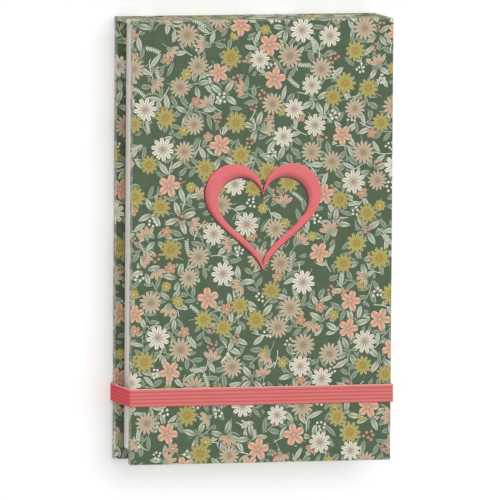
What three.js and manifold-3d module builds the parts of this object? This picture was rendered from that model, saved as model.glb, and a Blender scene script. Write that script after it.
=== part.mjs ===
// Pocket notepad: a paper-covered hard case that opens at the head, round a glued tear-off pad,
// kept shut by an elastic band across its lower part.
//
// Millimetres, +Z up. The notepad lies on its back cover: +Y points to the spine at the head,
// +X to the right as the front cover is read, and the origin is under the middle of the whole.
import * as THREE from "three";
import { mergeVertices } from "three/addons/utils/BufferGeometryUtils.js";
import Module from "manifold-3d";

const wasm = await Module();
wasm.setup();

// Pad of loose leaves
const sheetWidth = 76.2; // a 3 inch sheet
const sheetLength = 129.5;
const leafThickness = 0.105; // 80 g/m2 writing paper
const leavesPerBundle = 20;
const bundleCount = 7;
const backingCardThickness = 0.6;
const headGlueThickness = 0.2;

// Case
const boardThickness = 2;
const spineCardThickness = 0.6;
const wrapThickness = 0.25; // printed cover paper
const liningThickness = 0.2; // plain paper inside the covers and the spine
const glueLine = 0.05; // between a board and the paper round it
const turnIn = 12; // cover paper folded over on to the inside
const liningMargin = 4; // lining stops short of a cover's edge
const sideSquare = 2.85; // covers stand past the sheets at the sides
const tailSquare = 3.6; // and at the tail
const headGap = 0.3; // sheets to the inside of the spine
const closedGap = 0.3; // first sheet to the front cover's lining
const jointGap = 0.5; // cover board's head edge to the spine's inside
const creaseClearance = 0.05; // between papers that meet at a crease

// Elastic band
const elasticWidth = 5.5;
const elasticThickness = 0.6;
const elasticFit = 0.05; // band to the cover it lies on
const elasticFromTail = 20.5; // band's middle to the case's tail edge
const slitFromSide = 9; // band goes in through the back cover this far from its side
const gluedTail = 10; // band's end, glued into the back board
const slitClearance = 0.15;

// Raised motif on the front cover, a plain heart outline
const motifWidth = 37;
const motifThickness = 0.5;
const motifFromHead = 57.5; // its middle, from the case's head edge
const motifInnerShare = 0.76; // inner outline's size, as a share of the outer
const heartSteps = 72;

// Sizes worked out from these
const bundleThickness = leavesPerBundle * leafThickness;
const wrappedBoard = boardThickness + 2 * (glueLine + wrapThickness);
const wallThickness = wrappedBoard + liningThickness;
const spineThickness = spineCardThickness + 2 * (glueLine + wrapThickness) + liningThickness;
const caseWidth = sheetWidth + 2 * sideSquare;
const caseLength = tailSquare + sheetLength + headGap + spineThickness;
const creaseInset = wrapThickness + creaseClearance;

// Levels from the base up
const backOuter = elasticThickness + elasticFit;
const backInner = backOuter + wrappedBoard;
const cardBottom = backInner + liningThickness;
const stackBottom = cardBottom + backingCardThickness;
const stackTop = stackBottom + bundleCount * bundleThickness;
const firstSheetTop = stackTop + leafThickness;
const frontLiningBottom = firstSheetTop + closedGap;
const frontOuter = frontLiningBottom + wallThickness;

// Places from the tail to the head
const tailEdge = -caseLength / 2;
const headEdge = caseLength / 2;
const sheetTail = tailEdge + tailSquare;
const sheetHead = sheetTail + sheetLength;
const spineInner = headEdge - spineThickness;
const boardHead = spineInner - jointGap;
const halfWidth = caseWidth / 2;
const elasticY = tailEdge + elasticFromTail;
const slitX = halfWidth - slitFromSide;
const far = 2 * caseLength; // past anything, for open cuts

// Back cover's layers count up from its outer face and the front cover's count down from its own
const backLayer = (from, to) => [backOuter + from, backOuter + to];
const frontLayer = (from, to) => [frontOuter - to, frontOuter - from];

const greyboard = new THREE.MeshStandardMaterial({ color: 0x9a9388, roughness: 0.9 });
const printedPaper = new THREE.MeshStandardMaterial({ color: 0x55684f, roughness: 0.6 });
const liningPaper = new THREE.MeshStandardMaterial({ color: 0xefe9dc, roughness: 0.8 });
const sheetPaper = new THREE.MeshStandardMaterial({ color: 0xf1ede4, roughness: 0.85 });
const chipboard = new THREE.MeshStandardMaterial({ color: 0xa08f78, roughness: 0.9 });
const padGlue = new THREE.MeshStandardMaterial({ color: 0xe8e4da, roughness: 0.4 });
const elasticWeave = new THREE.MeshStandardMaterial({ color: 0xd96b6e, roughness: 0.8 });
const satinThread = new THREE.MeshStandardMaterial({ color: 0xec7075, roughness: 0.5 });

// A box between two limits on each axis
function slab([x0, x1], [y0, y1], [z0, z1]) {
  return new THREE.BoxGeometry(x1 - x0, y1 - y0, z1 - z0).translate(
    (x0 + x1) / 2,
    (y0 + y1) / 2,
    (z0 + z1) / 2,
  );
}

// Limits that stand the same way to both sides of the middle
const across = (half) => [-half, half];

function toSolid(geometry) {
  const bare = geometry.clone().deleteAttribute("normal").deleteAttribute("uv");
  const merged = mergeVertices(bare);
  return new wasm.Manifold(
    new wasm.Mesh({
      numProp: 3,
      vertProperties: merged.attributes.position.array,
      triVerts: new Uint32Array(merged.index.array),
    }),
  );
}

// A geometry with other geometries cut out of it
function cut(geometry, tools) {
  let solid = toSolid(geometry);
  for (const tool of tools) solid = solid.subtract(toSolid(tool));
  const { vertProperties, triVerts } = solid.getMesh();
  const made = new THREE.BufferGeometry();
  made.setAttribute("position", new THREE.BufferAttribute(vertProperties, 3));
  made.setIndex(new THREE.BufferAttribute(triVerts, 1));
  made.computeVertexNormals();
  return made;
}

function piece(name, geometry, material) {
  const mesh = new THREE.Mesh(geometry, material);
  mesh.name = name;
  return mesh;
}

// The holes in the back cover that the elastic's two ends go through, at one layer
const slits = (layer) =>
  [-1, 1].map((side) => {
    const edges = [
      side * (slitX - slitClearance),
      side * (slitX + elasticThickness + slitClearance),
    ];
    return slab(edges.sort((a, b) => a - b), elasticSpan(slitClearance), layer);
  });

function elasticSpan(clearance = 0) {
  const half = elasticWidth / 2 + clearance;
  return [elasticY - half, elasticY + half];
}

// Greyboard of a cover, as deep in the cover as its paper and the glue under it
function coverBoard(layerOf) {
  const edge = wrapThickness + glueLine;
  return slab(across(halfWidth - edge), [tailEdge + edge, boardHead], layerOf(edge, edge + boardThickness));
}

// Printed paper of a cover: its face, its three folded edges and what is turned in on the inside.
// At the head the paper runs on alone to the crease.
function coverWrap(layerOf, holes = []) {
  const block = slab(
    across(halfWidth),
    [tailEdge, headEdge - creaseInset],
    layerOf(0, wrappedBoard),
  );
  const hollow = slab(
    across(halfWidth - wrapThickness),
    [tailEdge + wrapThickness, far],
    layerOf(wrapThickness, wrappedBoard - wrapThickness),
  );
  const window = slab(
    across(halfWidth - turnIn),
    [tailEdge + turnIn, far],
    layerOf(wrapThickness, wrappedBoard + wrapThickness),
  );
  const pastBoard = slab(
    across(far),
    [boardHead, far],
    layerOf(wrapThickness, wrappedBoard + wrapThickness),
  );
  return cut(block, [hollow, window, pastBoard, ...holes]);
}

// Plain paper inside a cover, over the turn-ins and on down the board's head edge
function coverLining(layerOf) {
  const block = slab(
    across(halfWidth - liningMargin),
    [tailEdge + liningMargin, boardHead + liningThickness],
    layerOf(wrapThickness + glueLine, wallThickness),
  );
  const board = slab(across(far), [-far, boardHead], layerOf(0, wrappedBoard));
  return cut(block, [board]);
}

// Back cover, with slits and glue pockets for the elastic's ends
const pocketFloor = backOuter + wrapThickness + glueLine + boardThickness - elasticThickness;
const boardInner = pocketFloor + elasticThickness;

function backBoard() {
  const pockets = [-1, 1].map((side) => {
    const edges = [
      side * (slitX - gluedTail - slitClearance),
      side * (slitX + elasticThickness + slitClearance),
    ];
    return slab(
      edges.sort((a, b) => a - b),
      elasticSpan(slitClearance),
      [pocketFloor - glueLine, boardInner + glueLine],
    );
  });
  return cut(coverBoard(backLayer), [...slits([0, boardInner + glueLine]), ...pockets]);
}

function backWrap() {
  return coverWrap(backLayer, slits([0, backOuter + wrapThickness + glueLine]));
}

// Spine, a strip of thin card on edge between the two creases
const spineWrapInner = spineInner + liningThickness;

function spineBoard() {
  const edge = wrapThickness + glueLine;
  return slab(
    across(halfWidth - edge),
    [spineWrapInner + edge, headEdge - edge],
    [backOuter + creaseInset, frontOuter - creaseInset],
  );
}

function spineWrap() {
  const block = slab(across(halfWidth), [spineWrapInner, headEdge], [backOuter, frontOuter]);
  const hollow = slab(
    across(halfWidth - wrapThickness),
    [spineWrapInner + wrapThickness, headEdge - wrapThickness],
    across(far),
  );
  const window = slab(across(halfWidth - turnIn), [0, headEdge - wrapThickness], across(far));
  const ends = [
    slab(across(far), [0, headEdge - wrapThickness], [-far, backOuter + creaseInset]),
    slab(across(far), [0, headEdge - wrapThickness], [frontOuter - creaseInset, far]),
  ];
  return cut(block, [hollow, window, ...ends]);
}

function spineLining() {
  return slab(
    across(halfWidth - liningMargin),
    [spineInner, spineWrapInner],
    [backOuter + creaseInset, frontOuter - creaseInset],
  );
}

// Sheets, or anything the size of one, between two levels
const sheetSlab = (layer) => slab(across(sheetWidth / 2), [sheetTail, sheetHead], layer);

// Elastic band: over the front cover, down both sides, round under the back cover and up through
// its slits, with each end glued into its pocket
function elasticBand() {
  const outX = halfWidth + elasticFit + elasticThickness;
  const inX = halfWidth + elasticFit;
  const outZ = frontOuter + elasticFit + elasticThickness;
  const inZ = frontOuter + elasticFit;
  const bend = elasticThickness;
  const endX = slitX - gluedTail;
  const outline = new THREE.Shape();
  outline.moveTo(endX, boardInner);
  outline.lineTo(endX, pocketFloor);
  outline.lineTo(slitX, pocketFloor);
  outline.lineTo(slitX, 0);
  outline.lineTo(outX - bend, 0);
  outline.absarc(outX - bend, bend, bend, -Math.PI / 2, 0, false);
  outline.absarc(outX - bend, outZ - bend, bend, 0, Math.PI / 2, false);
  outline.absarc(-outX + bend, outZ - bend, bend, Math.PI / 2, Math.PI, false);
  outline.absarc(-outX + bend, bend, bend, Math.PI, Math.PI * 1.5, false);
  outline.lineTo(-slitX, 0);
  outline.lineTo(-slitX, pocketFloor);
  outline.lineTo(-endX, pocketFloor);
  outline.lineTo(-endX, boardInner);
  outline.lineTo(-slitX - elasticThickness, boardInner);
  outline.lineTo(-slitX - elasticThickness, elasticThickness);
  outline.lineTo(-inX, elasticThickness);
  outline.lineTo(-inX, inZ);
  outline.lineTo(inX, inZ);
  outline.lineTo(inX, elasticThickness);
  outline.lineTo(slitX + elasticThickness, elasticThickness);
  outline.lineTo(slitX + elasticThickness, boardInner);
  return new THREE.ExtrudeGeometry(outline, {
    depth: elasticWidth,
    bevelEnabled: false,
    curveSegments: 6,
  })
    .rotateX(Math.PI / 2)
    .translate(0, elasticSpan()[1], 0);
}

// Heart curve 32 units wide, shrunk towards a point on its axis by a share
const heartUnits = 32;
const heartCentre = -4;
function heartPoints(share) {
  const unit = motifWidth / heartUnits;
  return Array.from({ length: heartSteps }, (_, i) => {
    const t = (i / heartSteps) * 2 * Math.PI;
    const x = 16 * Math.sin(t) ** 3;
    const y = 13 * Math.cos(t) - 5 * Math.cos(2 * t) - 2 * Math.cos(3 * t) - Math.cos(4 * t);
    return new THREE.Vector2(x * share * unit, (heartCentre + (y - heartCentre) * share) * unit);
  });
}

function heartBlock(share, from, to) {
  const shape = new THREE.Shape(heartPoints(share));
  return new THREE.ExtrudeGeometry(shape, { depth: to - from, bevelEnabled: false }).translate(0, 0, from);
}

function motifOutline() {
  return cut(heartBlock(1, 0, motifThickness), [
    heartBlock(motifInnerShare, -motifThickness, 2 * motifThickness),
  ]);
}

const notepad = new THREE.Group();

const backCover = new THREE.Group();
backCover.add(
  piece("back_board", backBoard(), greyboard),
  piece("back_wrap", backWrap(), printedPaper),
  piece("back_lining", coverLining(backLayer), liningPaper),
);

const spine = new THREE.Group();
spine.add(
  piece("spine_board", spineBoard(), greyboard),
  piece("spine_wrap", spineWrap(), printedPaper),
  piece("spine_lining", spineLining(), liningPaper),
);

const frontCover = new THREE.Group();
const motif = piece("cover_motif", motifOutline(), satinThread);
motif.position.set(0, headEdge - motifFromHead, frontOuter);
frontCover.add(
  piece("front_board", coverBoard(frontLayer), greyboard),
  piece("front_wrap", coverWrap(frontLayer), printedPaper),
  piece("front_lining", coverLining(frontLayer), liningPaper),
  motif,
);

const pad = new THREE.Group();
pad.add(piece("backing_card", sheetSlab([cardBottom, stackBottom]), chipboard));
for (let i = 0; i < bundleCount; i++) {
  const bottom = stackBottom + i * bundleThickness;
  pad.add(piece(`sheets_${i + 1}`, sheetSlab([bottom, bottom + bundleThickness]), sheetPaper));
}
pad.add(
  piece("first_sheet", sheetSlab([stackTop, firstSheetTop]), sheetPaper),
  piece(
    "head_glue",
    slab(across(sheetWidth / 2), [sheetHead, sheetHead + headGlueThickness], [cardBottom, stackTop]),
    padGlue,
  ),
);

notepad.add(backCover, spine, frontCover, pad, piece("elastic_band", elasticBand(), elasticWeave));

export default notepad;
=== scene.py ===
"""A pocket notepad: a hard case covered in floral paper that folds open at its head, a glued
tear-off pad inside it, a raised heart on the cover and an elastic band round the whole."""

import math
import random

import bmesh
import bpy
from mathutils import Matrix, Vector


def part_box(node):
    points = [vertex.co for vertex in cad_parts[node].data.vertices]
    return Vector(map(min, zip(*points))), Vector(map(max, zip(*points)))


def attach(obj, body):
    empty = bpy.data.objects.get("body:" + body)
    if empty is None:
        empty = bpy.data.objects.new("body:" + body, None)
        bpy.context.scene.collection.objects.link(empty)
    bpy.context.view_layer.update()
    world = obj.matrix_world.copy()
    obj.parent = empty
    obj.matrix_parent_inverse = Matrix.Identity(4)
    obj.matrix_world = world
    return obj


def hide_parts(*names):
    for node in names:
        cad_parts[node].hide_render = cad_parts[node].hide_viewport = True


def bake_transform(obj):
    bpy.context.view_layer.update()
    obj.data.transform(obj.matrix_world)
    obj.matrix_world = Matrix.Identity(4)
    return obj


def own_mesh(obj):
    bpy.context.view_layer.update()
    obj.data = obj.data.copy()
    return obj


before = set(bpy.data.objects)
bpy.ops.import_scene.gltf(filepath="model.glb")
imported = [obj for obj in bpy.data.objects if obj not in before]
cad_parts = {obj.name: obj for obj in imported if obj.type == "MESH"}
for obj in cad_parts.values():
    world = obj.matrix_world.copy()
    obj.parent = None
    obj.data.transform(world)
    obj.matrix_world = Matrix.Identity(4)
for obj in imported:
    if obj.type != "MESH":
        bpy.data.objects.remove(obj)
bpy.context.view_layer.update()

# Camera
# A long lens, nearly parallel, looks down on the front cover from its left and its head.
# The photograph is an oblique projection, so a small roll shares out what a lens can't draw.
PICTURE_PX = 500
PX_PER_M = 3300
COVER_MIDDLE_PX = (262.2, 241.4)
LENS_MM = 1000
SENSOR_MM = 36
CLIP_END = 20
VIEW_FROM = Vector((-0.267, 0.09, 0.96))
ROLL = math.radians(0.4)

front_low, front_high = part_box("front_wrap")
spine_low, spine_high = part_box("spine_wrap")
cover_middle = Vector((0, (front_low.y + spine_high.y) / 2, front_high.z))

to_viewer = VIEW_FROM.normalized()
level = Vector((0, 1, 0)).cross(to_viewer).normalized()
upright = to_viewer.cross(level)
right = level * math.cos(ROLL) + upright * math.sin(ROLL)
up = to_viewer.cross(right)
px_right = COVER_MIDDLE_PX[0] - PICTURE_PX / 2
px_up = PICTURE_PX / 2 - COVER_MIDDLE_PX[1]
aim = cover_middle - (right * px_right + up * px_up) / PX_PER_M

camera_data = bpy.data.cameras.new("camera")
camera_data.lens = LENS_MM
camera_data.sensor_width = SENSOR_MM
camera = bpy.data.objects.new("camera", camera_data)
camera_distance = PICTURE_PX / PX_PER_M * LENS_MM / SENSOR_MM
turn = Matrix((right, up, to_viewer)).transposed().to_4x4()
camera.matrix_world = Matrix.Translation(aim + to_viewer * camera_distance) @ turn
camera_data.clip_end = CLIP_END
bpy.context.collection.objects.link(camera)
bpy.context.scene.camera = camera

# Studio
# White matt paper sweep under a wide soft key from overhead, a little from the head, and an even
# white fill. Together they light a level surface at about the colour that it is written in. The
# sweep is shown a little greyer with a glow, so it is pure white round a soft, light shadow.
FLOOR_SIDE = 6
FILL = 0.6
KEY = 1.22
KEY_FROM = Vector((0.1, 0.3, 1))
KEY_ANGLE = math.radians(40)
FLOOR_GLOW = 0.253
FLOOR_LIT = 0.834


def result_of(value):
    """The socket of a node's result, or any other value as it is."""
    if isinstance(value, bpy.types.Node):
        return next(s for s in value.outputs if s.enabled)
    return value


def add(tree, kind, inputs=None, **settings):
    """Add one node with its settings, and set or link its inputs by name or by number."""
    made = tree.nodes.new("ShaderNode" + kind)
    for key, value in settings.items():
        setattr(made, key, value)
    for key, value in (inputs or {}).items():
        if isinstance(key, str):
            socket = next(s for s in made.inputs if s.enabled and s.name == key)
        else:
            socket = made.inputs[key]
        value = result_of(value)
        if isinstance(value, bpy.types.NodeSocket):
            tree.links.new(value, socket)
        else:
            socket.default_value = value
    return made


def linear(code):
    """An sRGB hex colour as the linear colour that a socket takes."""
    channels = [int(code[i : i + 2], 16) / 255 for i in (1, 3, 5)]
    return [c / 12.92 if c < 0.04045 else ((c + 0.055) / 1.055) ** 2.4 for c in channels] + [1]


def new_material(name):
    """A material, and its empty node tree."""
    made = bpy.data.materials.new(name)
    made.use_nodes = True
    made.node_tree.nodes.clear()
    return made, made.node_tree


def backdrop_rays(tree):
    """1 for the rays that show the backdrop, to the eye or in a gloss or glass, and 0 for light."""
    path = add(tree, "LightPath").outputs
    seen = add(tree, "Math", {0: path["Is Camera Ray"], 1: path["Is Glossy Ray"]}, operation="MAXIMUM")
    return add(tree, "Math", {0: seen, 1: path["Is Transmission Ray"]}, operation="MAXIMUM")


bpy.context.scene.view_settings.view_transform = "Standard"
world = bpy.data.worlds.new("studio")
world.use_nodes = True
sky = world.node_tree
sky.nodes.clear()
strength = add(sky, "MapRange", {"Value": backdrop_rays(sky), "To Min": FILL, "To Max": 1.0})
background = add(sky, "Background", {"Color": linear("#ffffff"), "Strength": strength})
add(sky, "OutputWorld", {"Surface": background})
bpy.context.scene.world = world

key_data = bpy.data.lights.new("key", "SUN")
key_data.energy = KEY
key_data.angle = KEY_ANGLE
key = bpy.data.objects.new("key", key_data)
key.rotation_euler = KEY_FROM.to_track_quat("Z", "Y").to_euler()
bpy.context.collection.objects.link(key)

bpy.ops.object.select_all(action="DESELECT")
bpy.ops.mesh.primitive_plane_add(size=FLOOR_SIDE)
floor = bpy.context.object
floor.name = "floor"
sweep, tree = new_material("white paper sweep")
plain = add(tree, "BsdfDiffuse", {"Color": linear("#ffffff")})
lit = add(tree, "BsdfDiffuse", {"Color": [FLOOR_LIT, FLOOR_LIT, FLOOR_LIT, 1]})
glow = add(tree, "Emission", {"Color": linear("#ffffff"), "Strength": FLOOR_GLOW})
shown = add(tree, "AddShader", {0: lit, 1: glow})
both = add(tree, "MixShader", {0: backdrop_rays(tree), 1: plain, 2: shown})
add(tree, "OutputMaterial", {"Surface": both})
floor.data.materials.append(sweep)

# Floral cover paper
# Offset-printed paper: small flowers, leaves and berries on dark green, all over and in no rows.
# Each kind of motif is scattered in cells of its own, one kind over another, on the flat sheet's
# own coordinates in millimetres, so the print runs on round every fold.
MM = 0.001
TAU = 2 * math.pi
CASE_HEIGHT = spine_high.z - spine_low.z
HALF_WIDTH = front_high.x
TAIL_Y = front_low.y
HEAD_Y = spine_high.y
COVER_THICKNESS = front_high.z - front_low.z

# Patterns' sizes, in millimetres here and below
MOTTLE = 3
GRAIN = 0.4
SCUFF = 0.9


def new_sockets(group, side, names):
    """Give a node group inputs or outputs: vectors for sheet and place, else numbers."""
    for name in names:
        kind = "NodeSocketVector" if name in ("Sheet", "Place") else "NodeSocketFloat"
        group.interface.new_socket(name, in_out=side, socket_type=kind)


def new_group(name, inputs):
    """A node group, and what it is given."""
    group = bpy.data.node_groups.new(name, "ShaderNodeTree")
    new_sockets(group, "INPUT", inputs)
    return group, group.nodes.new("NodeGroupInput").outputs


def end_group(group, results):
    """Give a node group an output for each result."""
    new_sockets(group, "OUTPUT", results)
    wanted = group.nodes.new("NodeGroupOutput").inputs
    for name, result in results.items():
        group.links.new(result_of(result), wanted[name])


# Cells: where the nearest motif's middle is, with a turn, a size and a pick by chance. The tint is
# the turn's chance spread out many times over, so that it seems to follow nothing.
TINT_SPREAD = 13.7
scatter, given = new_group("scatter", ["Sheet", "Cell", "Jitter", "Smallest"])
per_mm = add(scatter, "Math", {0: 1.0, 1: given["Cell"]}, operation="DIVIDE")
spots = {"Vector": given["Sheet"], "Scale": per_mm, "Randomness": given["Jitter"]}
cells = add(scatter, "TexVoronoi", spots, voronoi_dimensions="2D").outputs
local = add(scatter, "VectorMath", {0: given["Sheet"], 1: cells["Position"]}, operation="SUBTRACT")
chance = add(scatter, "SeparateColor", {0: cells["Color"]}).outputs
angle = add(scatter, "Math", {0: chance[0], 1: TAU}, operation="MULTIPLY")
turned = add(scatter, "VectorRotate", {"Vector": local, "Angle": angle}, rotation_type="Z_AXIS")
size = add(scatter, "MapRange", {"Value": chance[1], "To Min": 1.0, "To Max": given["Smallest"]})
growth = add(scatter, "Math", {0: 1.0, 1: size}, operation="DIVIDE")
placed = add(scatter, "VectorMath", {0: turned, "Scale": growth}, operation="SCALE")
spread = add(scatter, "Math", {0: chance[0], 1: TINT_SPREAD}, operation="MULTIPLY")
tint = add(scatter, "Math", {0: spread}, operation="FRACT")
end_group(scatter, {"Place": placed, "Chance": chance[2], "Tint": tint})


def leaf_outline(group, along, aside, half, point, halo):
    """A petal or leaf that swells between -1 and 1 along its midline. Across is 0 on the midline and
    1 at the widest, rim is 1 all round the edge, and the halo is a wider leaf, which parts this one
    from what is under it."""
    across = add(group, "Math", {0: aside, 1: half}, operation="DIVIDE")
    width = add(group, "Math", {0: across}, operation="ABSOLUTE")
    square = add(group, "Math", {0: along, 1: along}, operation="MULTIPLY")
    room = add(group, "Math", {0: 1.0, 1: square}, operation="SUBTRACT", use_clamp=True)
    edge = add(group, "Math", {0: room, 1: point}, operation="POWER")
    wider = add(group, "Math", {0: edge, 1: halo}, operation="MULTIPLY")
    return {
        "Mask": add(group, "Math", {0: width, 1: edge}, operation="LESS_THAN"),
        "Halo": add(group, "Math", {0: width, 1: wider}, operation="LESS_THAN"),
        "Rim": add(group, "Math", {0: width, 1: edge}, operation="DIVIDE"),
        "Across": width,
    }


# Petals or leaves in a ring. Along runs from -1 at the inner end to 1 at the tip, and facing is the
# cosine of the petal's own bearing. Taper widens a petal towards its tip, and a lower point makes
# both its ends blunter.
PETAL_HALO = 1.7
ring, given = new_group("petals", ["Place", "count", "inner", "outer", "half", "taper", "point"])
flat = add(ring, "SeparateXYZ", {0: given["Place"]}).outputs
bearing = add(ring, "Math", {0: flat[1], 1: flat[0]}, operation="ARCTAN2")
radius = add(ring, "VectorMath", {0: given["Place"]}, operation="LENGTH")
sector = add(ring, "Math", {0: TAU, 1: given["count"]}, operation="DIVIDE")
turns = add(ring, "Math", {0: bearing, 1: sector}, operation="DIVIDE")
share = add(ring, "Math", {0: turns}, operation="FRACT")
centred = add(ring, "Math", {0: share, 1: 0.5}, operation="SUBTRACT")
lean = add(ring, "Math", {0: centred, 1: sector}, operation="MULTIPLY")
cosine = add(ring, "Math", {0: lean}, operation="COSINE")
sine = add(ring, "Math", {0: lean}, operation="SINE")
out = add(ring, "Math", {0: radius, 1: cosine}, operation="MULTIPLY")
aside = add(ring, "Math", {0: radius, 1: sine}, operation="MULTIPLY")
run = {"Value": out, "From Min": given["inner"], "From Max": given["outer"], "To Min": -1.0, "To Max": 1.0}
along = add(ring, "MapRange", run, clamp=False)
swell = add(ring, "Math", {0: along, 1: given["taper"], 2: 1.0}, operation="MULTIPLY_ADD")
half = add(ring, "Math", {0: given["half"], 1: swell}, operation="MULTIPLY")
middle = add(ring, "Math", {0: bearing, 1: lean}, operation="SUBTRACT")
facing = add(ring, "Math", {0: middle}, operation="COSINE")
petal = leaf_outline(ring, along, aside, half, given["point"], PETAL_HALO)
end_group(ring, {**petal, "Along": along, "Radius": radius, "Facing": facing})

# Sprig: leaves in turn on both sides of a bowed stem, each at LEAF_LEAN to it
LEAF_LEAN = math.radians(48)
LEAF_HALO = 1.85
STEM_BOW = 0.045
STEM_HALF_WIDTH = 0.11


def on_bow(tree, place):
    """How far a place lies along a bowed stem, and how far off it."""
    flat = add(tree, "SeparateXYZ", {0: place}).outputs
    square = add(tree, "Math", {0: flat[0], 1: flat[0]}, operation="MULTIPLY")
    return flat[0], add(tree, "Math", {0: square, 1: STEM_BOW, 2: flat[1]}, operation="MULTIPLY_ADD")


sprig, given = new_group("sprig", ["Place", "pitch", "half_stem", "half_leaf", "half"])
down_stem, off_stem = on_bow(sprig, given["Place"])
side = add(sprig, "Math", {0: off_stem}, operation="SIGN")
aside = add(sprig, "Math", {0: off_stem}, operation="ABSOLUTE")
quarter = add(sprig, "Math", {0: given["pitch"], 1: 0.25}, operation="MULTIPLY")
shifted = add(sprig, "Math", {0: side, 1: quarter, 2: down_stem}, operation="MULTIPLY_ADD")
root = add(sprig, "Math", {0: aside, 1: -1 / math.tan(LEAF_LEAN), 2: shifted}, operation="MULTIPLY_ADD")
step = add(sprig, "Math", {0: root, 1: given["pitch"]}, operation="DIVIDE")
whole = add(sprig, "Math", {0: step}, operation="ROUND")
joint = add(sprig, "Math", {0: whole, 1: given["pitch"]}, operation="MULTIPLY")
past = add(sprig, "Math", {0: shifted, 1: joint}, operation="SUBTRACT")
leaf_x = add(sprig, "Math", {0: past, 1: math.cos(LEAF_LEAN)}, operation="MULTIPLY")
leaf_x = add(sprig, "Math", {0: aside, 1: math.sin(LEAF_LEAN), 2: leaf_x}, operation="MULTIPLY_ADD")
leaf_y = add(sprig, "Math", {0: past, 1: -math.sin(LEAF_LEAN)}, operation="MULTIPLY")
leaf_y = add(sprig, "Math", {0: aside, 1: math.cos(LEAF_LEAN), 2: leaf_y}, operation="MULTIPLY_ADD")
length = add(sprig, "Math", {0: leaf_x, 1: given["half_leaf"]}, operation="DIVIDE")
along = add(sprig, "Math", {0: length, 1: 1.0}, operation="SUBTRACT")
leaf = leaf_outline(sprig, along, leaf_y, given["half"], 1.0, LEAF_HALO)
joint_far = add(sprig, "Math", {0: joint}, operation="ABSOLUTE")
on_stem = add(sprig, "Math", {0: joint_far, 1: given["half_stem"]}, operation="LESS_THAN")
for part in ("Mask", "Halo"):
    leaf[part] = add(sprig, "Math", {0: leaf[part], 1: on_stem}, operation="MULTIPLY")
thin = add(sprig, "Math", {0: aside, 1: STEM_HALF_WIDTH}, operation="LESS_THAN")
far = add(sprig, "Math", {0: down_stem}, operation="ABSOLUTE")
short = add(sprig, "Math", {0: far, 1: given["half_stem"]}, operation="LESS_THAN")
stem = add(sprig, "Math", {0: thin, 1: short}, operation="MULTIPLY")
end_group(sprig, {**leaf, "Stem": stem})

# Berries: whole dots that lie within reach of the middle
berries, given = new_group("berries", ["Place", "spacing", "reach", "berry"])
per_mm = add(berries, "Math", {0: 1.0, 1: given["spacing"]}, operation="DIVIDE")
spots = {"Vector": given["Place"], "Scale": per_mm, "Randomness": 0.6}
dots = add(berries, "TexVoronoi", spots, voronoi_dimensions="2D").outputs
apart = add(berries, "Math", {0: dots["Distance"], 1: given["spacing"]}, operation="MULTIPLY")
round_dot = add(berries, "Math", {0: apart, 1: given["berry"]}, operation="LESS_THAN")
away = add(berries, "VectorMath", {0: dots["Position"]}, operation="LENGTH")
within = add(berries, "Math", {0: away, 1: given["reach"]}, operation="LESS_THAN")
mask = add(berries, "Math", {0: round_dot, 1: within}, operation="MULTIPLY")
end_group(berries, {"Mask": mask})

# Ground: the dark green that the whole sheet is printed with, a little uneven
cover_print, tree = new_material("floral offset print on cover paper, satin varnish")
sheet = add(tree, "UVMap", uv_map="sheet")
mottle = add(tree, "TexNoise", {"Vector": sheet, "Scale": 1 / MOTTLE, "Detail": 4.0}, noise_dimensions="2D")
ground = add(
    tree, "Mix", {"Factor": mottle, "A": linear("#4e5e4b"), "B": linear("#5e6d57")}, data_type="RGBA"
)

# A fan keeps the petals that face ahead. Each shading has the value that it starts at, the value
# that it is full at, and its strength there.
FAN_FACING = 0.3
LATTICE_SHIFT = (1.7, 0.9)
PETAL_RIM = (0.55, 0.85, 0.6)
PETAL_FOOT = (0.1, -0.9, 0.6)
PETAL_MIDLINE = (0.22, 0.08, 0.6)
LEAF_RIM = (0.55, 0.85, 0.7)
LEAF_MIDRIB = (0.2, 0.06, 0.5)


def scattered(tree, cell, angle, jitter=0.45, smallest=0.8):
    """Cells over the sheet for one motif each, in a lattice that is turned by an angle in degrees
    and shifted by so much a degree that no two lattices fall in step."""
    shift = (angle * LATTICE_SHIFT[0], angle * LATTICE_SHIFT[1], 0)
    turned = (0, 0, math.radians(angle))
    lattice = add(tree, "Mapping", {"Vector": sheet, "Location": shift, "Rotation": turned})
    inputs = {"Sheet": lattice, "Cell": cell, "Jitter": jitter, "Smallest": smallest}
    return add(tree, "Group", inputs, node_tree=scatter).outputs


def print_over(tree, below, mask, cells, share, ink):
    """Lay an ink over what is printed so far, in the cells whose chance lies in a share of 0 to 1."""
    low, high = share
    middle, reach = (low + high) / 2, (high - low) / 2
    here = add(tree, "Math", {0: cells["Chance"], 1: middle, 2: reach}, operation="COMPARE")
    shown = add(tree, "Math", {0: mask, 1: here}, operation="MULTIPLY")
    return add(tree, "Mix", {"Factor": shown, "A": below, "B": ink}, data_type="RGBA")


def shaded(tree, colour, other, value, shading):
    """A colour that turns to another as a value goes through a shading."""
    start, full, most = shading
    amount = add(tree, "MapRange", {"Value": value, "From Min": start, "From Max": full, "To Max": most})
    return add(tree, "Mix", {"Factor": amount, "A": colour, "B": linear(other)}, data_type="RGBA")


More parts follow.
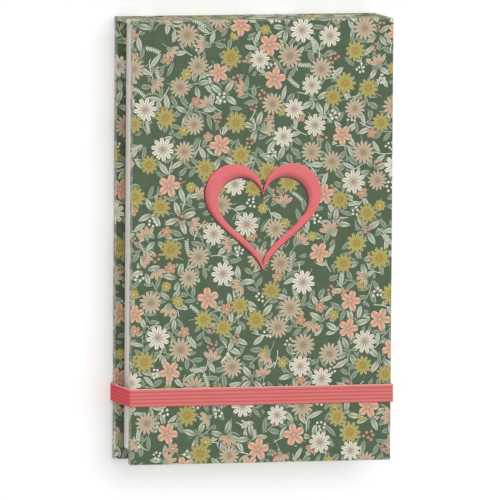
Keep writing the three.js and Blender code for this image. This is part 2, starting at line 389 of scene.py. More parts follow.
def print_ring(tree, below, cells, share, inks, middle=None, fan=False, **sizes):
    """Print a ring of petals or leaves on its halo, with sizes in millimetres. The inks are two that
    chance mixes, one for foot and midline, and one for the rim. A middle is a radius and an ink."""
    petals = add(tree, "Group", {"Place": cells["Place"], **sizes}, node_tree=ring).outputs
    parts = [petals["Halo"], petals["Mask"]]
    if fan:
        ahead = add(tree, "Math", {0: petals["Facing"], 1: FAN_FACING}, operation="GREATER_THAN")
        parts = [add(tree, "Math", {0: part, 1: ahead}, operation="MULTIPLY") for part in parts]
    one, other, line, rim = inks
    between = {"Factor": cells["Tint"], "A": linear(one), "B": linear(other)}
    ink = add(tree, "Mix", between, data_type="RGBA")
    ink = shaded(tree, ink, rim, petals["Rim"], PETAL_RIM)
    ink = shaded(tree, ink, line, petals["Along"], PETAL_FOOT)
    ink = shaded(tree, ink, line, petals["Across"], PETAL_MIDLINE)
    printed = print_over(tree, below, parts[0], cells, share, ground)
    printed = print_over(tree, printed, parts[1], cells, share, ink)
    if middle:
        disc = add(tree, "Math", {0: petals["Radius"], 1: middle[0]}, operation="LESS_THAN")
        printed = print_over(tree, printed, disc, cells, share, linear(middle[1]))
    return printed


def print_stem(tree, below, cells, share, length, ink):
    """Print the bowed stem that a motif stands on."""
    along, aside = on_bow(tree, cells["Place"])
    thin = add(tree, "Math", {0: aside, 1: 0.0, 2: STEM_HALF_WIDTH}, operation="COMPARE")
    within = add(tree, "Math", {0: along, 1: -length / 2, 2: length / 2}, operation="COMPARE")
    mask = add(tree, "Math", {0: thin, 1: within}, operation="MULTIPLY")
    return print_over(tree, below, mask, cells, share, linear(ink))


def print_sprig(tree, below, cells, share, inks, **sizes):
    """Print a leafy sprig on its halo, with sizes in millimetres. The inks are the leaves', the
    midribs', and the rims' and the stem's."""
    leaves = add(tree, "Group", {"Place": cells["Place"], **sizes}, node_tree=sprig).outputs
    leaf, line, rim = inks
    ink = shaded(tree, linear(leaf), rim, leaves["Rim"], LEAF_RIM)
    ink = shaded(tree, ink, line, leaves["Across"], LEAF_MIDRIB)
    printed = print_over(tree, below, leaves["Halo"], cells, share, ground)
    printed = print_over(tree, printed, leaves["Mask"], cells, share, ink)
    return print_over(tree, printed, leaves["Stem"], cells, share, linear(rim))


def print_berries(tree, below, cells, share, ink, **sizes):
    """Print a cluster of berries, with sizes in millimetres."""
    dots = add(tree, "Group", {"Place": cells["Place"], **sizes}, node_tree=berries)
    return print_over(tree, below, dots, cells, share, linear(ink))


# Leaves lie lowest: two kinds of sprig and a whorl
cells = scattered(tree, 9.3, 17, jitter=0.35)
art = print_sprig(
    tree, ground, cells, (0, 0.92), ("#88937f", "#56684f", "#b3baa6"),
    pitch=3.5, half_stem=3.6, half_leaf=2.4, half=0.78,
)
cells = scattered(tree, 9.8, 61, jitter=0.35)
art = print_sprig(
    tree, art, cells, (0.05, 1), ("#b4b9a4", "#6f7d66", "#d9dfcd"),
    pitch=4.0, half_stem=3.4, half_leaf=2.6, half=0.84,
)
cells = scattered(tree, 9.5, 5, jitter=0.4)
art = print_ring(
    tree, art, cells, (0, 0.36), ("#c3c6b1", "#a8ae98", "#68765e", "#dce1d0"),
    count=4, inner=0.7, outer=5.6, half=0.9, taper=-0.2, point=0.9,
)

# Small things between the flowers: berries, fern tips and little blossoms
cells = scattered(tree, 7.4, 34, jitter=0.5)
art = print_berries(tree, art, cells, (0, 0.22), "#ddd8c4", spacing=1.3, reach=2.0, berry=0.42)
art = print_berries(tree, art, cells, (0.22, 0.42), "#cb937f", spacing=1.35, reach=2.0, berry=0.45)
art = print_sprig(
    tree, art, cells, (0.42, 0.58), ("#cdd1bd", "#aeb59d", "#cdd1bd"),
    pitch=0.75, half_stem=2.3, half_leaf=0.5, half=0.2,
)
art = print_ring(
    tree, art, cells, (0.58, 0.78), ("#b0a45c", "#b5aa68", "#857840", "#cbc180"), (0.42, "#d3c28a"),
    count=8, inner=0.1, outer=1.9, half=0.42, taper=0.35, point=0.5,
)
art = print_ring(
    tree, art, cells, (0.78, 0.94), ("#cb977f", "#c4a585", "#96644f", "#dfbaa3"), (0.4, "#c9c09a"),
    count=5, inner=0.1, outer=1.9, half=0.6, taper=0.35, point=0.5,
)

# Flowers, one to a cell, on stems: coral, white, beige and mustard ones, and half-open fans
cells = scattered(tree, 8.6, 26, smallest=0.82)
art = print_stem(tree, art, cells, (0, 0.9), 5.2, "#a2af9a")
art = print_ring(
    tree, art, cells, (0, 0.14), ("#d8a78f", "#d5ac92", "#b3806b", "#ebcdb9"), (0.45, "#b3bf9f"),
    count=5, inner=0.4, outer=3.5, half=1.12, taper=0.22, point=0.46,
)
art = print_ring(
    tree, art, cells, (0.14, 0.33), ("#e2dccb", "#d8d0be", "#85785f", "#f4f0e4"), (0.5, "#ab9777"),
    count=10, inner=0.3, outer=3.8, half=0.62, taper=0.4, point=0.4,
)
art = print_ring(
    tree, art, cells, (0.33, 0.53), ("#c4b094", "#cdbca2", "#7c6a50", "#dfd2bb"), (0.6, "#a08d72"),
    count=14, inner=0.4, outer=3.8, half=0.4, taper=0.3, point=0.5,
)
art = print_ring(
    tree, art, cells, (0.53, 0.79), ("#b5aa66", "#ad9f60", "#83763f", "#cfc58f"), (0.6, "#bd9145"),
    count=11, inner=0.3, outer=3.5, half=0.52, taper=0.2, point=0.6,
)
art = print_ring(
    tree, art, cells, (0.79, 0.96), ("#cba78e", "#c6b59b", "#8a6e57", "#e2ccb6"), (0.75, "#8fa28a"), fan=True,
    count=11, inner=0.2, outer=3.8, half=0.56, taper=0.4, point=0.5,
)

# Wear and painted highlight: the paper is painted paler at its folds, partly as rubbed wear and partly as a
# painted highlight where the rounded folds catch the light, and in a thin line down the creases at the spine
EDGE_SOFT = 0.35
CREASE_HALF = 0.18
on_sheet = add(tree, "SeparateXYZ", {0: sheet}).outputs
from_middle = add(tree, "Math", {0: on_sheet[0]}, operation="ABSOLUTE")
spine_middle = HEAD_Y / MM + CASE_HEIGHT / MM / 2
from_spine = add(tree, "Math", {0: on_sheet[1], 1: spine_middle}, operation="SUBTRACT")
from_spine = add(tree, "Math", {0: from_spine}, operation="ABSOLUTE")
half_edge = COVER_THICKNESS / MM / 2
side_edge = HALF_WIDTH / MM + half_edge
tail_edge = CASE_HEIGHT / MM / 2 + (HEAD_Y - TAIL_Y) / MM + half_edge
fold_wear_and_highlight = 0.0
for distance, middle, reach in (
    (from_middle, side_edge, half_edge),
    (from_spine, tail_edge, half_edge),
    (from_spine, CASE_HEIGHT / MM / 2, CREASE_HALF),
):
    apart = add(tree, "Math", {0: distance, 1: middle}, operation="SUBTRACT")
    apart = add(tree, "Math", {0: apart}, operation="ABSOLUTE")
    inputs = {"Value": apart, "From Min": reach, "From Max": reach + EDGE_SOFT, "To Min": 1.0, "To Max": 0.0}
    near = add(tree, "MapRange", inputs)
    fold_wear_and_highlight = add(tree, "Math", {0: fold_wear_and_highlight, 1: near}, operation="MAXIMUM")
scuff = add(tree, "TexNoise", {"Vector": sheet, "Scale": 1 / SCUFF, "Detail": 6.0}, noise_dimensions="2D")
inputs = {"Value": scuff, "From Min": 0.3, "From Max": 0.7, "To Min": 0.08, "To Max": 0.36}
amount = add(tree, "MapRange", inputs)
wear_and_highlight_amount = add(tree, "Math", {0: fold_wear_and_highlight, 1: amount}, operation="MULTIPLY")
# Pale grey at the folds and creases: partly wear, partly painted highlight
art = add(tree, "Mix", {"Factor": wear_and_highlight_amount, "A": art, "B": linear("#d6d4c9")}, data_type="RGBA")

# The paper's grain shows as a faint speckle in the ink. Its fibres are far too fine to show, so it
# is drawn as clumps of them, 0.4 mm wide. The satin varnish is thin and leaves a dull face.
grain = add(tree, "TexNoise", {"Vector": sheet, "Scale": 1 / GRAIN, "Detail": 4.0}, noise_dimensions="2D")
speck = add(tree, "MapRange", {"Value": grain, "To Min": 0.78, "To Max": 1.38})
art = add(tree, "VectorMath", {0: art, "Scale": speck}, operation="SCALE")
relief = add(tree, "Bump", {"Height": grain, "Strength": 0.12, "Distance": 0.1 * MM})
varnish = add(tree, "MapRange", {"Value": grain, "To Min": 0.56, "To Max": 0.72})
finish = {"Base Color": art, "Roughness": varnish, "Specular IOR Level": 0.04, "Normal": relief}
surface = add(tree, "BsdfPrincipled", finish)
add(tree, "OutputMaterial", {"Surface": surface})

# The same paper's back is plain and unvarnished, and shows only in the grooves at the spine
paper_back, tree = new_material("unprinted back of cover paper")
sheet = add(tree, "UVMap", uv_map="sheet")
grain = add(tree, "TexNoise", {"Vector": sheet, "Scale": 1 / GRAIN}, noise_dimensions="2D")
stock = add(
    tree, "Mix", {"Factor": grain, "A": linear("#ddd8cc"), "B": linear("#ece8de")}, data_type="RGBA"
)
surface = add(tree, "BsdfPrincipled", {"Base Color": stock, "Roughness": 0.85})
add(tree, "OutputMaterial", {"Surface": surface})

# Front and back cover paper
# One sheet is glued round both boards and the spine, folded in on three sides. Each cover's part
# is a folded sheet of its own that carries on over the crease to the spine, where it meets the
# spine's part edge to edge.
PAPER_THICKNESS = 0.25 * MM
TURN_IN = 12 * MM
FOLD_RADIUS = 0.3 * MM
CREASE_REACH = 1.5 * MM
TINY = 0.001 * MM
BOARD_HEAD_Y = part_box("front_board")[1].y

# Folds are sharper than A_FOLD. A face looks along an axis when its normal's part along it is over
# FACING, counts as flat over FLAT, and belongs to a fold when it leans sideways by over LEANING.
A_FOLD = math.radians(60)
FACING = 0.5
FLAT = 0.95
LEANING = 0.3


def choose(piece, kind, test):
    """In edit mode, select only the faces or edges that pass a test."""
    mesh = bmesh.from_edit_mesh(piece.data)
    bpy.ops.mesh.select_mode(type="FACE" if kind == "faces" else "EDGE")
    bpy.ops.mesh.select_all(action="DESELECT")
    for item in getattr(mesh, kind):
        if test(item):
            item.select_set(True)
    mesh.select_flush_mode()
    bmesh.update_edit_mesh(piece.data)


def new_block(name, low, high):
    """A box between two corners, in edit mode."""
    bpy.ops.object.select_all(action="DESELECT")
    middle = (Vector(low) + Vector(high)) / 2
    bpy.ops.mesh.primitive_cube_add(size=1, location=middle, scale=Vector(high) - Vector(low))
    piece = bpy.context.object
    piece.name = piece.data.name = name
    bpy.ops.object.transform_apply(location=True, rotation=False, scale=True)
    bpy.ops.object.mode_set(mode="EDIT")
    return piece


def split(piece, test, point, normal):
    """Cut the chosen faces along a plane."""
    choose(piece, "faces", test)
    bpy.ops.mesh.bisect(plane_co=point, plane_no=normal)


def finish_sheet(piece):
    """Round a folded sheet's folds and give it the thickness of paper, printed on the outside."""
    choose(piece, "edges", lambda edge: len(edge.link_faces) == 2 and edge.calc_face_angle() > A_FOLD)
    bpy.ops.mesh.bevel(offset=FOLD_RADIUS, segments=4, affect="EDGES")
    bpy.ops.object.mode_set(mode="OBJECT")
    solid = piece.modifiers.new("paper", "SOLIDIFY")
    solid.thickness = PAPER_THICKNESS
    solid.offset = -1
    solid.use_even_offset = True
    solid.material_offset = 1
    piece.data.materials.append(cover_print)
    piece.data.materials.append(paper_back)
    bpy.ops.object.modifier_apply(modifier=solid.name)
    bpy.ops.object.shade_smooth_by_angle(angle=math.radians(35))


def cover_paper(name, outer_z, inner_z):
    """A cover's paper: its face, three folded edges, three turn-ins and the crease at its head."""
    low_z, high_z = sorted((outer_z, inner_z))
    piece = new_block(name, (-HALF_WIDTH, TAIL_Y, low_z), (HALF_WIDTH, HEAD_Y, high_z))
    window_x = HALF_WIDTH - TURN_IN
    window_y = TAIL_Y + TURN_IN
    crease_z = outer_z + math.copysign(CREASE_REACH, inner_z - outer_z)

    def inside(face):
        return abs(face.calc_center_median().z - inner_z) < TINY

    def at_head(face):
        return abs(face.calc_center_median().y - HEAD_Y) < TINY

    split(piece, inside, (window_x, 0, 0), (1, 0, 0))
    split(piece, inside, (-window_x, 0, 0), (1, 0, 0))
    split(piece, inside, (0, window_y, 0), (0, 1, 0))
    split(piece, lambda face: True, (0, BOARD_HEAD_Y, 0), (0, 1, 0))
    split(piece, at_head, (0, 0, crease_z), (0, 0, 1))

    def left_out(face):
        middle = face.calc_center_median()
        in_window = inside(face) and abs(middle.x) < window_x and middle.y > window_y
        past_board = middle.y > BOARD_HEAD_Y and (inside(face) or abs(face.normal.x) > FACING)
        off_crease = at_head(face) and abs(middle.z - outer_z) > CREASE_REACH
        return in_window or past_board or off_crease

    choose(piece, "faces", left_out)
    bpy.ops.mesh.delete(type="FACE")
    finish_sheet(piece)
    return piece


def lay_flat(piece, unfold):
    """Give a folded sheet the coordinates, in millimetres, that it has when laid flat."""
    mesh = piece.data
    sheet_map = mesh.uv_layers.new(name="sheet")
    for face in mesh.polygons:
        for corner in face.loop_indices:
            point = mesh.vertices[mesh.loops[corner].vertex_index].co
            sheet_map.data[corner].uv = Vector(unfold(point, face.normal, face.center)) / MM


def unfold_cover(outer_z, outwards):
    """Flat coordinates on the front cover, or mirrored past the spine on the back cover."""

    def unfold(point, normal, middle):
        depth = abs(point.z - outer_z)
        facing_out = normal.z * outwards
        sideways = math.hypot(normal.x, normal.y) > LEANING
        nearer_side = HALF_WIDTH - abs(middle.x) < middle.y - TAIL_Y
        on_head = sideways and normal.y > abs(normal.x)
        on_side = abs(normal.x) > abs(normal.y) if sideways else nearer_side
        hand = math.copysign(1, middle.x)
        u, v = point.x, point.y
        if facing_out <= FLAT:
            if on_head:
                v += depth
            elif on_side and facing_out > 0:
                u += hand * depth
            elif on_side:
                u = hand * (2 * HALF_WIDTH - abs(point.x) + depth)
            elif facing_out > 0:
                v -= depth
            else:
                v = 2 * TAIL_Y - point.y - depth
        return (u, v) if outwards > 0 else (u, 2 * HEAD_Y + CASE_HEIGHT - v)

    return unfold


back_low, back_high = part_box("back_wrap")
for name, node, body, outer_z, inner_z, outwards in (
    ("front_cover_paper", "front_wrap", "front_cover", front_high.z, front_low.z, 1),
    ("back_cover_paper", "back_wrap", "back_cover", back_low.z, back_high.z, -1),
):
    piece = cover_paper(name, outer_z, inner_z)
    lay_flat(piece, unfold_cover(outer_z, outwards))
    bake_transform(piece)
    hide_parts(node)

# Spine paper
# The same printed sheet between the two creases, glued round the spine's card and folded in at
# the spine's two ends.
END_GAP = 0.3 * MM

spine_block_low = (-HALF_WIDTH, spine_low.y, spine_low.z + END_GAP)
spine_block_high = (HALF_WIDTH, HEAD_Y, spine_high.z - END_GAP)
spine_paper = new_block("spine_paper", spine_block_low, spine_block_high)


def spine_outside(face):
    return face.normal.y > FACING


def spine_inside(face):
    return face.normal.y < -FACING


for turn_in_x in (HALF_WIDTH - TURN_IN, TURN_IN - HALF_WIDTH):
    split(spine_paper, spine_inside, (turn_in_x, 0, 0), (1, 0, 0))
for crease_z in (spine_low.z + CREASE_REACH, spine_high.z - CREASE_REACH):
    split(spine_paper, spine_outside, (0, 0, crease_z), (0, 0, 1))


def off_spine_paper(face):
    """Whether a face is at an end, between the turn-ins or past a crease."""
    middle = face.calc_center_median()
    end = abs(face.normal.z) > FACING
    window = spine_inside(face) and abs(middle.x) < HALF_WIDTH - TURN_IN
    at_crease = min(middle.z - spine_low.z, spine_high.z - middle.z) < CREASE_REACH
    return end or window or (spine_outside(face) and at_crease)


choose(spine_paper, "faces", off_spine_paper)
bpy.ops.mesh.delete(type="FACE")
finish_sheet(spine_paper)


def unfold_spine(point, normal, middle):
    """Flat coordinates on the spine, between the front cover's and the back cover's."""
    depth = HEAD_Y - point.y
    hand = math.copysign(1, middle.x)
    v = HEAD_Y + spine_high.z - point.z
    if normal.y > FLAT:
        return point.x, v
    if normal.y > 0:
        return point.x + hand * depth, v
    return hand * (2 * HALF_WIDTH - abs(point.x) + depth), v


lay_flat(spine_paper, unfold_spine)
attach(spine_paper, "spine")
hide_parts("spine_wrap")

# Greyboard
# The covers' and the spine's stiffening: recycled pulp pressed into dull grey board, with paler and
# darker fibres and flecks in it. It shows only in the open joints, in the 4 mm past the linings.
PER_METRE = 1 / MM
FIBRE = 0.6
FLECK = 1.4


def fibres(tree, place, size, detail, dark, pale):
    """Pulp's fibres of a size in millimetres: their pattern, and the colour that they give."""
    pattern = add(tree, "TexNoise", {"Vector": place, "Scale": PER_METRE / size, "Detail": detail})
    mixed = {"Factor": pattern, "A": linear(dark), "B": linear(pale)}
    return pattern, add(tree, "Mix", mixed, data_type="RGBA")


def dress(node, finish):
    """Give a CAD node its finish."""
    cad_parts[node].material_slots[0].material = finish


greyboard, tree = new_material("greyboard, pressed recycled pulp")
place = add(tree, "TexCoord").outputs["Object"]
fibre, pulp = fibres(tree, place, FIBRE, 5.0, "#8a857b", "#a8a297")
flecks = add(tree, "TexNoise", {"Vector": place, "Scale": PER_METRE / FLECK, "Detail": 2.0})
pulp = shaded(tree, pulp, "#6d675e", flecks, (0.62, 0.7, 1.0))
relief = add(tree, "Bump", {"Height": fibre, "Strength": 0.4, "Distance": 0.05 * MM})
surface = add(tree, "BsdfPrincipled", {"Base Color": pulp, "Roughness": 0.92, "Normal": relief})
add(tree, "OutputMaterial", {"Surface": surface})
for board in ("front_board", "back_board", "spine_board"):
    dress(board, greyboard)

# Linings
# Uncoated ivory paper glued over the turn-ins inside each cover, down the board's head edge and
# inside the spine, to hide the raw board. Its fibres give it a soft, even grain and a matt face.
CLOUD = 20
lining_paper, tree = new_material("ivory lining paper, uncoated")
place = add(tree, "TexCoord").outputs["Object"]
grain, ivory = fibres(tree, place, GRAIN, 4.0, "#e6dfd0", "#f2ecdf")
cloud = add(tree, "TexNoise", {"Vector": place, "Scale": PER_METRE / CLOUD, "Detail": 2.0})
shade = add(tree, "MapRange", {"Value": cloud, "To Min": 0.94, "To Max": 1.03})
ivory = add(tree, "VectorMath", {0: ivory, "Scale": shade}, operation="SCALE")
relief = add(tree, "Bump", {"Height": grain, "Strength": 0.25, "Distance": 0.05 * MM})
surface = add(tree, "BsdfPrincipled", {"Base Color": ivory, "Roughness": 0.85, "Normal": relief})
add(tree, "OutputMaterial", {"Surface": surface})
for lining in ("front_lining", "back_lining", "spine_lining"):
    dress(lining, lining_paper)

# Pad of leaves
# Ruled writing paper, matt and warm white, cut in stacks and glued at the head alone. No two leaves
# lie quite even, so the cut edges show as fine lines. Each bundle is one leaf, copied up the stack.
LEAF_FILL = 0.9
LEAF_SLIP = 0.06 * MM
LEAF_SHORT = 0.09 * MM
LEAF_GRAIN = 0.35
RULE_PITCH = 6.35
RULE_HALF = 0.11
RULE_STOP = 0.4
MARGIN_RULES = 2
SEED = 3
leaf_low, leaf_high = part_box("first_sheet")

writing_paper, tree = new_material("ruled writing paper, uncoated")
place = add(tree, "TexCoord").outputs["Object"]
spot = add(tree, "SeparateXYZ", {0: place}).outputs
grain, stock = fibres(tree, place, LEAF_GRAIN, 3.0, "#e9e4dc", "#f8f5ef")
# Rules stop short of the leaf's sides, so that none shows on the cut edges
from_head = add(tree, "Math", {0: leaf_high.y, 1: spot[1]}, operation="SUBTRACT")
lines = add(tree, "Math", {0: from_head, 1: PER_METRE / RULE_PITCH}, operation="MULTIPLY")
lines = add(tree, "Math", {0: lines}, operation="FRACT")
lines = add(tree, "Math", {0: lines, 1: 0.5}, operation="SUBTRACT")
lines = add(tree, "Math", {0: lines}, operation="ABSOLUTE")
ruled = add(tree, "Math", {0: lines, 1: RULE_HALF / RULE_PITCH}, operation="LESS_THAN")
beside = add(tree, "Math", {0: spot[0]}, operation="ABSOLUTE")
on_face = add(tree, "Math", {0: beside, 1: leaf_high.x - RULE_STOP * MM}, operation="LESS_THAN")
below_head = add(tree, "Math", {0: from_head, 1: MARGIN_RULES * RULE_PITCH * MM}, operation="GREATER_THAN")
ruled = add(tree, "Math", {0: ruled, 1: on_face}, operation="MULTIPLY")
ruled = add(tree, "Math", {0: ruled, 1: below_head}, operation="MULTIPLY")
stock = add(tree, "Mix", {"Factor": ruled, "A": stock, "B": linear("#aebbb2")}, data_type="RGBA")
relief = add(tree, "Bump", {"Height": grain, "Strength": 0.2, "Distance": 0.04 * MM})
surface = add(tree, "BsdfPrincipled", {"Base Color": stock, "Roughness": 0.88, "Normal": relief})
add(tree, "OutputMaterial", {"Surface": surface})


def bundle_of_leaves(node, chance):
    """Separate leaves, one over another, in the space of one bundle. By chance each lies a little
    to a side, and is a little short at the tail."""
    low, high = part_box(node)
    count = round((high.z - low.z) / (leaf_high.z - leaf_low.z))
    pitch = (high.z - low.z) / count
    piece = new_block(node + "_leaves", low, (high.x, high.y, low.z + pitch * LEAF_FILL))
    bpy.ops.object.mode_set(mode="OBJECT")
    stack = piece.modifiers.new("stack", "ARRAY")
    stack.count = count
    stack.use_relative_offset = False
    stack.use_constant_offset = True
    stack.constant_offset_displace = (0, 0, pitch)
    bpy.ops.object.modifier_apply(modifier=stack.name)
    slips = [(chance.uniform(-1, 1), chance.uniform(0, 1)) for _ in range(count)]
    for vertex in piece.data.vertices:
        aside, short = slips[int((vertex.co.z - low.z) / pitch)]
        vertex.co.x += aside * LEAF_SLIP
        if vertex.co.y < 0:
            vertex.co.y += short * LEAF_SHORT
    return piece


chance = random.Random(SEED)
for node in sorted(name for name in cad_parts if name.startswith("sheets_")):
    bundle = bundle_of_leaves(node, chance)
    bundle.data.materials.append(writing_paper)
    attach(bundle, "back_cover")
    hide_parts(node)

# First leaf
# The same paper, held by the glue along its head edge, and built as one flat leaf.
first_leaf = new_block("first_leaf_paper", leaf_low, leaf_high)
bpy.ops.object.mode_set(mode="OBJECT")
first_leaf.data.materials.append(writing_paper)
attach(first_leaf, "first_leaf")
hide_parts("first_sheet")

# Backing card and head glue
# Thin grey-brown chipboard, matt and fibrous, stiffens the pad. A coat of padding glue, brushed on
# along the head, holds card and leaves together and dries to a streaky film with a low gloss.
CARD_FIBRE = 0.8
BRUSH_STREAK = (17, 1.1, 1.1)

chipboard, tree = new_material("chipboard card")
place = add(tree, "TexCoord").outputs["Object"]
pulp = fibres(tree, place, CARD_FIBRE, 5.0, "#8f7f6a", "#b3a38c")[1]
surface = add(tree, "BsdfPrincipled", {"Base Color": pulp, "Roughness": 0.9})
add(tree, "OutputMaterial", {"Surface": surface})
dress("backing_card", chipboard)

padding_glue, tree = new_material("dried padding glue")
place = add(tree, "TexCoord").outputs["Object"]
per_streak = [PER_METRE / size for size in BRUSH_STREAK]
streaks = add(tree, "Mapping", {"Vector": place, "Scale": per_streak})
brushed = add(tree, "TexNoise", {"Vector": streaks, "Scale": 1.0, "Detail": 3.0})
film = add(
    tree, "Mix", {"Factor": brushed, "A": linear("#d8d3c6"), "B": linear("#efece4")}, data_type="RGBA"
)
relief = add(tree, "Bump", {"Height": brushed, "Strength": 0.5, "Distance": 0.1 * MM})
surface = add(tree, "BsdfPrincipled", {"Base Color": film, "Roughness": 0.38, "Normal": relief})
add(tree, "OutputMaterial", {"Surface": surface})
dress("head_glue", padding_glue)

# Raised heart
# Satin stitch over a padded outline: slanting coral threads laid close, with a painted highlight as a paler
# pink stripe along each thread's crest, flat on top and rounded down to the paper at its edges, with the soft
# sheen of rayon.
HEART_STEPS = 144
FINE_STEPS = 2000
HEART_UNITS = 32
HEART_CENTRE = -4
HEART_FOOT = -17
INNER_SHARE = 0.76
SHOULDER = 0.45 * MM
# Edges facing this way get painted shade, and edges facing away get a painted highlight
PAINTED_SHADE_SIDE = Vector((-0.6, -0.8, 0))
STITCH_PITCH = 0.58

# heart_point's curve is HEART_UNITS wide, with its foot at HEART_FOOT and its middle at HEART_CENTRE
heart_low, heart_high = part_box("cover_motif")
heart_unit = (heart_high.x - heart_low.x) / HEART_UNITS
heart_middle_x = (heart_low.x + heart_high.x) / 2
heart_middle_y = heart_low.y + (HEART_CENTRE - HEART_FOOT) * heart_unit
heart_middle = Vector((heart_middle_x, heart_middle_y, heart_low.z))


def heart_point(t):
    """A point on the heart's outer outline, from its middle."""
    x = 16 * math.sin(t) ** 3
    y = 13 * math.cos(t) - 5 * math.cos(2 * t) - 2 * math.cos(3 * t) - math.cos(4 * t)
    return Vector((x, y - HEART_CENTRE, 0)) * heart_unit


def spaced_evenly(points, count):
    """Points the same way apart along a run of points, both ends kept."""
    run = [0]
    for before, after in zip(points, points[1:]):
        run.append(run[-1] + (after - before).length)
    spaced, index = [], 0
    for step in range(count + 1):
        want = run[-1] * step / count
        while index < len(points) - 2 and run[index + 1] < want:
            index += 1
        part = (want - run[index]) / (run[index + 1] - run[index])
        spaced.append(points[index].lerp(points[index + 1], part))
    return spaced


bpy.ops.object.select_all(action="DESELECT")
bpy.ops.mesh.primitive_circle_add(vertices=HEART_STEPS, location=heart_middle)
heart = bpy.context.object
heart.name = heart.data.name = "cover_heart"
half_steps = HEART_STEPS // 2
fine = [heart_point(math.pi * step / FINE_STEPS) for step in range(FINE_STEPS + 1)]
right_half = spaced_evenly(fine, half_steps)
left_half = [Vector((-point.x, point.y, 0)) for point in reversed(right_half)]
for vertex, point in zip(heart.data.vertices, right_half + left_half[1:-1]):
    vertex.co = point
bpy.ops.object.transform_apply(location=True, rotation=False, scale=False)
bpy.ops.object.mode_set(mode="EDIT")
bpy.ops.mesh.select_all(action="SELECT")
bpy.ops.mesh.extrude_edges_move()
bpy.ops.transform.resize(value=(INNER_SHARE, INNER_SHARE, 1), center_override=heart_middle)
bpy.ops.mesh.select_all(action="SELECT")
bpy.ops.mesh.normals_make_consistent(inside=False)
thick = heart_high.z - heart_low.z
bpy.ops.mesh.extrude_region_move(TRANSFORM_OT_translate={"value": (0, 0, thick)})


def top_rim(edge):
    """Whether the top turns down to a side at an edge."""
    on_top = all(abs(vertex.co.z - heart_high.z) < TINY for vertex in edge.verts)
    return on_top and any(abs(face.normal.z) < FACING for face in edge.link_faces)


choose(heart, "edges", top_rim)
bpy.ops.mesh.bevel(offset=SHOULDER, segments=4, affect="EDGES")
bpy.ops.mesh.select_all(action="SELECT")
bpy.ops.mesh.remove_doubles(threshold=TINY)
bpy.ops.mesh.normals_make_consistent(inside=False)
bpy.ops.object.mode_set(mode="OBJECT")
bpy.ops.object.shade_smooth_by_angle(angle=math.radians(50))

# Real threads lie 0.4 mm apart, too fine to show, so they are drawn STITCH_PITCH apart. The rounded edge
# towards PAINTED_SHADE_SIDE gets painted shade in dark red, and the far edge gets a painted highlight in pale
# pink, by which way each edge faces.
satin, tree = new_material("satin stitch, rayon thread")
place = add(tree, "TexCoord").outputs
spot = add(tree, "SeparateXYZ", {0: place["Object"]}).outputs
slant = add(tree, "Math", {0: spot[0], 1: spot[1]}, operation="SUBTRACT")
turns_per_metre = TAU * PER_METRE / STITCH_PITCH / math.sqrt(2)
thread = add(tree, "Math", {0: slant, 1: turns_per_metre}, operation="MULTIPLY")
thread = add(tree, "Math", {0: thread}, operation="SINE")
towards = add(tree, "VectorMath", {0: place["Normal"], 1: PAINTED_SHADE_SIDE}, operation="DOT_PRODUCT")
# Painted highlight: the coral turns pale pink along each thread's crest, where the relief is highest
colour = shaded(tree, linear("#d23b4c"), "#f5948e", thread, (-0.2, 0.9, 1.0))
# Painted highlight: pale pink on the edges turned away from PAINTED_SHADE_SIDE
colour = shaded(tree, colour, "#ed9a99", towards, (-0.1, -0.5, 0.5))
# Painted shade: dark red on the edges turned towards PAINTED_SHADE_SIDE
colour = shaded(tree, colour, "#5f2024", towards, (0.0, 0.12, 0.95))
height = add(tree, "Math", {0: thread, 1: 0.5, 2: 0.5}, operation="MULTIPLY_ADD")
relief = add(tree, "Bump", {"Height": height, "Strength": 0.6, "Distance": 0.08 * MM})
finish = {"Base Color": colour, "Roughness": 0.5, "Sheen Weight": 0.25, "Normal": relief}
surface = add(tree, "BsdfPrincipled", finish)
add(tree, "OutputMaterial", {"Surface": surface})
heart.data.materials.append(satin)
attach(heart, "front_cover")
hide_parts("cover_motif")

# Elastic band
# Woven ribbed elastic, stretched round both covers. It comes out of a slit in the back cover at
# each side, turns under the edge and runs over the front. Rubber cords make its lengthwise ribs,
# and the yarn round them gives it a matt, knitted face.
RIBS = 5
RIB_STRIPS = 8
RIB_HEIGHT = 0.18 * MM
ELASTIC_THICKNESS = 0.6 * MM
ELASTIC_BEND = 0.55 * MM
SLIT_FROM_SIDE = 9 * MM
RUN_IN = 1.6 * MM
STITCH_LENGTH = 0.55
STITCH_SLANT = 0.35
PAINTED_HIGHLIGHT_WIDTH = 0.3 * MM

band_low, band_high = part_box("elastic_band")
slit_x = HALF_WIDTH - SLIT_FROM_SIDE
elastic = new_block("elastic_band_weave", band_low, band_high)
for slit in (slit_x, -slit_x):
    split(elastic, lambda face: face.normal.z < -FACING, (slit, 0, 0), (1, 0, 0))


def off_elastic(face):
    """Whether a face is at the band's long sides or between its slits."""
    between_slits = face.normal.z < -FACING and abs(face.calc_center_median().x) < slit_x
    return abs(face.normal.y) > FACING or between_slits


choose(elastic, "faces", off_elastic)
bpy.ops.mesh.delete(type="FACE")


def across_band(edge):
    """Whether an edge runs across the band's width."""
    return abs(edge.verts[0].co.y - edge.verts[1].co.y) > TINY


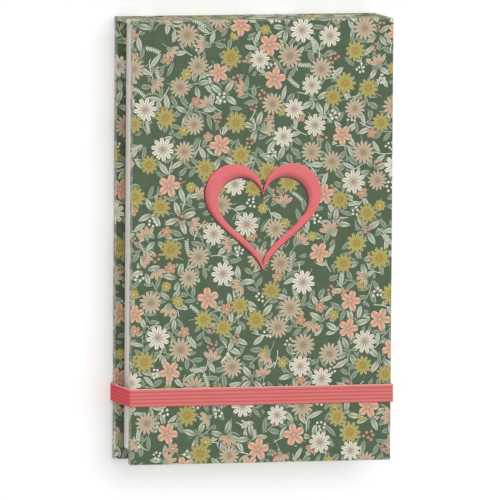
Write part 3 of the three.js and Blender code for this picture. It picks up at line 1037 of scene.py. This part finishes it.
choose(elastic, "edges", lambda edge: across_band(edge) and len(edge.link_faces) == 1)
bpy.ops.mesh.extrude_edges_move(TRANSFORM_OT_translate={"value": (0, 0, RUN_IN)})
choose(elastic, "edges", lambda edge: across_band(edge) and len(edge.link_faces) == 2)
bpy.ops.mesh.bevel(offset=ELASTIC_BEND, segments=8, affect="EDGES")
choose(elastic, "edges", across_band)
bpy.ops.mesh.subdivide(number_cuts=RIBS * RIB_STRIPS - 1)
bpy.ops.mesh.select_all(action="SELECT")
bpy.ops.mesh.normals_make_consistent(inside=False)
bpy.ops.object.mode_set(mode="OBJECT")
rib_width = (band_high.y - band_low.y) / RIBS
valleys = []
for vertex in elastic.data.vertices:
    off_crest = 2 * ((vertex.co.y - band_low.y) / rib_width % 1) - 1
    valleys.append(vertex.normal * RIB_HEIGHT * (1 - math.sqrt(max(0, 1 - off_crest**2))))
for vertex, valley in zip(elastic.data.vertices, valleys):
    vertex.co -= valley
solid = elastic.modifiers.new("webbing", "SOLIDIFY")
solid.thickness = ELASTIC_THICKNESS - RIB_HEIGHT
solid.offset = -1
bpy.ops.object.modifier_apply(modifier=solid.name)
bpy.ops.object.shade_smooth_by_angle(angle=math.radians(60))

# The yarn's turns are drawn STITCH_LENGTH long, about twice the real ones, so that they show. They lean
# across each rib. Painted shade darkens the valleys between ribs and deepens the band's sides, which face
# away from the light, and a painted highlight runs along the band's edge towards the head.
webbing, tree = new_material("woven elastic, coral yarn over rubber cords")
place = add(tree, "TexCoord").outputs
spot = add(tree, "SeparateXYZ", {0: place["Object"]}).outputs
from_low = add(tree, "Math", {0: spot[1], 1: band_low.y}, operation="SUBTRACT")
ribs = add(tree, "Math", {0: from_low, 1: rib_width}, operation="DIVIDE")
rib = add(tree, "Math", {0: ribs}, operation="FLOOR")
on_rib = add(tree, "Math", {0: ribs}, operation="FRACT")
off_crest = add(tree, "Math", {0: on_rib, 1: 2.0, 2: -1.0}, operation="MULTIPLY_ADD")
off_crest = add(tree, "Math", {0: off_crest}, operation="ABSOLUTE")
far = add(tree, "Math", {0: spot[0]}, operation="ABSOLUTE")
run = add(tree, "Math", {0: far, 1: spot[2]}, operation="SUBTRACT")
run = add(tree, "Math", {0: run, 1: PER_METRE / STITCH_LENGTH}, operation="MULTIPLY")
run = add(tree, "Math", {0: rib, 1: 0.5, 2: run}, operation="MULTIPLY_ADD")
run = add(tree, "Math", {0: off_crest, 1: STITCH_SLANT, 2: run}, operation="MULTIPLY_ADD")
stitch = add(tree, "Math", {0: run, 1: TAU}, operation="MULTIPLY")
stitch = add(tree, "Math", {0: stitch}, operation="SINE")
tone = add(tree, "MapRange", {"Value": stitch, "From Min": -1.0, "To Min": 0.25, "To Max": 0.85})
yarn = add(tree, "Mix", {"Factor": tone, "A": linear("#d16062"), "B": linear("#ea8b88")}, data_type="RGBA")
# Painted shade: the valleys between the ribs are darkened
yarn = shaded(tree, yarn, "#a84146", off_crest, (0.6, 1.0, 0.5))
facing = add(tree, "SeparateXYZ", {0: place["Normal"]}).outputs
sideways = add(tree, "Math", {0: facing[0]}, operation="ABSOLUTE")
# Painted shade: the band's sides, facing away from the light, are deepened to a darker red
yarn = shaded(tree, yarn, "#d62c47", sideways, (0.3, 0.9, 0.65))
# Painted highlight: a pale pink band along the elastic's edge towards the head
painted_highlight_band = add(tree, "Math", {0: spot[1], 1: band_high.y - PAINTED_HIGHLIGHT_WIDTH}, operation="GREATER_THAN")
yarn = add(tree, "Mix", {"Factor": painted_highlight_band, "A": yarn, "B": linear("#edb0aa")}, data_type="RGBA")
relief = add(tree, "Bump", {"Height": stitch, "Strength": 0.5, "Distance": 0.06 * MM})
finish = {"Base Color": yarn, "Roughness": 0.8, "Specular IOR Level": 0.15, "Normal": relief}
surface = add(tree, "BsdfPrincipled", finish)
add(tree, "OutputMaterial", {"Surface": surface})
elastic.data.materials.append(webbing)
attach(elastic, "back_cover")
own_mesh(elastic)
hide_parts("elastic_band")
